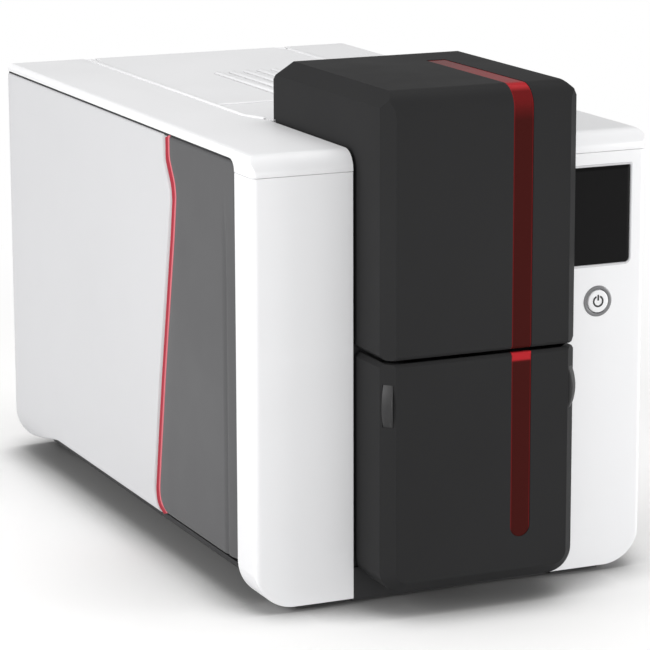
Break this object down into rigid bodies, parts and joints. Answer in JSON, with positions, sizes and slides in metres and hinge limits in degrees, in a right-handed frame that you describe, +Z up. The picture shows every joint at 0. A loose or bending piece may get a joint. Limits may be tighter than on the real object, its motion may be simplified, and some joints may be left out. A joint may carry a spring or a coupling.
{
  "type": "id card printer",
  "caption": "Desktop card printer with a hinged hood, tilting card feeder cover, output hopper, side panels, touch screen and push button.",
  "frame": {"origin": "on the desk below the middle of the printer, at the height of the underside of its feet", "axes": "+X to the right for someone facing the front, +Y from the front to the rear, +Z up"},
  "size_m": [0.205, 0.3814, 0.248],
  "materials": {
    "white_shell": "satin moulded plastic",
    "grey_shell": "satin moulded plastic",
    "slate_shell": "satin moulded plastic",
    "dark_shell": "fine satin",
    "dark_inner": "matte",
    "base": "matte",
    "rubber": "matte",
    "steel": "plated sheet and turned rod",
    "aluminium": "extruded",
    "red_trim": "gloss",
    "red_window": "tinted clear plastic",
    "screen": "gloss cover glass over a dark display",
    "grey_ring": "satin",
    "mark": "printed",
    "cards": "blank cards",
    "grip": "soft touch",
    "cleaning": "tacky sleeve",
    "motor": "satin",
    "ribbon": "film",
    "board": "solder mask",
    "chips": "moulded",
    "socket": "moulded"
  },
  "bodies": {
    "chassis": {"base_tray": "base", "rubber_feet": "rubber", "side_plates": "steel", "front_frame": "base", "fascia_left": "white_shell", "fascia_right": "white_shell", "top_cover": "white_shell", "rear_cover": "grey_shell", "side_panel_left": "grey_shell", "side_panel_right": "grey_shell", "side_front_left": "slate_shell", "side_front_right": "slate_shell", "side_trims": "red_trim", "screen_bezel": "grey_shell", "touchscreen": "screen", "button_ring": "grey_ring", "hinge_pins": "steel", "feeder_body": "dark_inner", "card_stack": "cards", "case_screws": "steel", "hopper_tray": "dark_inner", "card_path": "steel", "drive_belt": "rubber", "drive_motor": "motor", "ribbon_cassette": "dark_inner", "ribbon_film": "ribbon", "ribbon_motor": "motor", "main_board": "board", "board_parts": "chips", "fan_frame": "base", "rear_sockets": "socket"},
    "hood": {"hood": "white_shell", "head_bracket": "steel", "print_head": "aluminium"},
    "feeder_cover": {"feeder_cover": "dark_shell", "feeder_window": "red_window"},
    "hopper_cover": {"hopper_cover": "dark_shell", "hopper_window": "red_window", "hopper_grips": "grip"},
    "power_button": {"power_button": "white_shell", "button_mark": "mark"},
    "card_pusher": {"card_pusher": "dark_inner"},
    "diverter": {"diverter": "dark_inner"},
    "feed_drive": {"feed_roller": "rubber", "feed_shaft": "steel"},
    "front_drive": {"front_roller": "rubber", "front_shaft": "steel"},
    "platen_drive": {"platen_roller": "rubber", "platen_shaft": "steel"},
    "rear_drive": {"rear_roller": "rubber", "rear_shaft": "steel"},
    "exit_drive": {"exit_roller": "rubber", "exit_shaft": "steel"},
    "cleaning_roller": {"cleaning_roller": "cleaning"},
    "pinch_front": {"pinch_front": "steel"},
    "pinch_rear": {"pinch_rear": "steel"},
    "motor_pulley": {"motor_pulley": "steel"},
    "supply_spool": {"supply_spool": "ribbon"},
    "takeup_spool": {"takeup_spool": "ribbon"},
    "fan_rotor": {"fan_rotor": "base"}
  },
  "joints": [
    {"name": "hood_hinge", "type": "hinge", "parent": "chassis", "child": "hood", "pos_m": [0.0024, 0.186, 0.2135], "axis": [-1, 0, 0], "range_deg": [0, 60]},
    {"name": "feeder_cover_hinge", "type": "hinge", "parent": "chassis", "child": "feeder_cover", "pos_m": [0, -0.0715, 0.222], "axis": [-1, 0, 0], "range_deg": [0, 55]},
    {"name": "hopper_cover_hinge", "type": "hinge", "parent": "chassis", "child": "hopper_cover", "pos_m": [0, -0.1685, 0.018], "axis": [1, 0, 0], "range_deg": [0, 50]},
    {"name": "power_button_slide", "type": "slide", "parent": "chassis", "child": "power_button", "axis": [0, 1, 0], "range_m": [0, 0.0008], "stiffness_N_per_m": 1500, "springref_m": -0.0006},
    {"name": "card_pusher_slide", "type": "slide", "parent": "chassis", "child": "card_pusher", "axis": [0, 0, 1], "range_m": [0, 0.06]},
    {"name": "diverter_hinge", "type": "hinge", "parent": "chassis", "child": "diverter", "pos_m": [0, -0.0555, 0.128], "axis": [1, 0, 0], "range_deg": [0, 16], "stiffness_Nm_per_rad": 0.02, "springref_deg": -17.19},
    {"name": "feed_spin", "type": "hinge", "parent": "chassis", "child": "feed_drive", "pos_m": [0, -0.1075, 0.126], "axis": [1, 0, 0], "continuous": true},
    {"name": "front_spin", "type": "hinge", "parent": "chassis", "child": "front_drive", "pos_m": [0, -0.0415, 0.126], "axis": [1, 0, 0], "continuous": true},
    {"name": "platen_spin", "type": "hinge", "parent": "chassis", "child": "platen_drive", "pos_m": [0, -0.0035, 0.126], "axis": [1, 0, 0], "continuous": true},
    {"name": "rear_spin", "type": "hinge", "parent": "chassis", "child": "rear_drive", "pos_m": [0, 0.0455, 0.126], "axis": [1, 0, 0], "continuous": true},
    {"name": "exit_spin", "type": "hinge", "parent": "chassis", "child": "exit_drive", "pos_m": [0, 0.1405, 0.126], "axis": [1, 0, 0], "continuous": true},
    {"name": "motor_spin", "type": "hinge", "parent": "chassis", "child": "motor_pulley", "pos_m": [0, 0.0155, 0.09], "axis": [1, 0, 0], "continuous": true},
    {"name": "cleaning_spin", "type": "hinge", "parent": "chassis", "child": "cleaning_roller", "pos_m": [0, -0.0735, 0.1412], "axis": [1, 0, 0], "continuous": true},
    {"name": "pinch_front_spin", "type": "hinge", "parent": "chassis", "child": "pinch_front", "pos_m": [0, -0.0415, 0.138], "axis": [1, 0, 0], "continuous": true},
    {"name": "pinch_rear_spin", "type": "hinge", "parent": "chassis", "child": "pinch_rear", "pos_m": [0, 0.0455, 0.138], "axis": [1, 0, 0], "continuous": true},
    {"name": "supply_spin", "type": "hinge", "parent": "chassis", "child": "supply_spool", "pos_m": [0, 0.0455, 0.17], "axis": [1, 0, 0], "continuous": true},
    {"name": "takeup_spin", "type": "hinge", "parent": "chassis", "child": "takeup_spool", "pos_m": [0, -0.0415, 0.17], "axis": [1, 0, 0], "continuous": true},
    {"name": "fan_spin", "type": "hinge", "parent": "chassis", "child": "fan_rotor", "pos_m": [-0.03, 0.1821, 0.172], "axis": [0, 1, 0], "continuous": true}
  ],
  "couplings": [
    {"joint": "feed_spin", "follows": "platen_spin", "ratio": 1},
    {"joint": "front_spin", "follows": "platen_spin", "ratio": 1},
    {"joint": "rear_spin", "follows": "platen_spin", "ratio": 1},
    {"joint": "exit_spin", "follows": "platen_spin", "ratio": 1},
    {"joint": "motor_spin", "follows": "platen_spin", "ratio": 1},
    {"joint": "takeup_spin", "follows": "supply_spin", "ratio": 1.6667}
  ]
}
